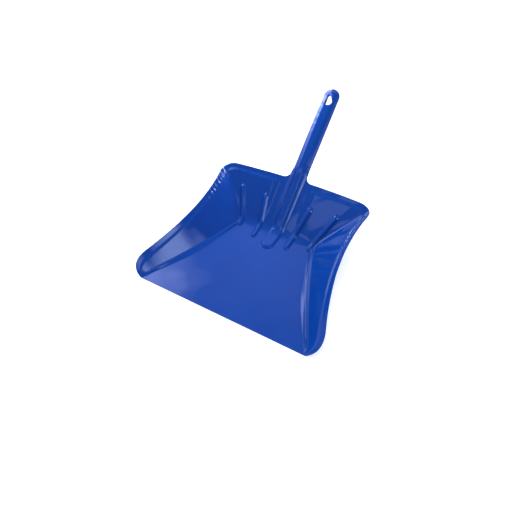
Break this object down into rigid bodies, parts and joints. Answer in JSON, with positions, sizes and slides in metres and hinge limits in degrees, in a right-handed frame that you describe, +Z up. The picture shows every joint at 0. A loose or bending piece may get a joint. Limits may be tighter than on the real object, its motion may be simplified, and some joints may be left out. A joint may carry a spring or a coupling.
{
  "type": "dustpan",
  "caption": "Pressed sheet-steel hand shovel: a shallow beaded pan with a low open front and a rolled channel handle that ends in a teardrop hanging hole.",
  "frame": {"origin": "middle of the footprint, on the surface that the pan lies on", "axes": "+Z up from the floor the pan lies on; +Y from the open front edge towards the handle's tip; +X to the right seen from the front edge looking at the handle"},
  "size_m": [0.225, 0.2942, 0.1232],
  "materials": {
    "pan_paint": "glossy blue stove enamel over pressed steel",
    "handle_paint": "glossy blue stove enamel over pressed steel"
  },
  "bodies": {
    "root": {"pan": "pan_paint", "handle": "handle_paint"}
  },
  "joints": []
}
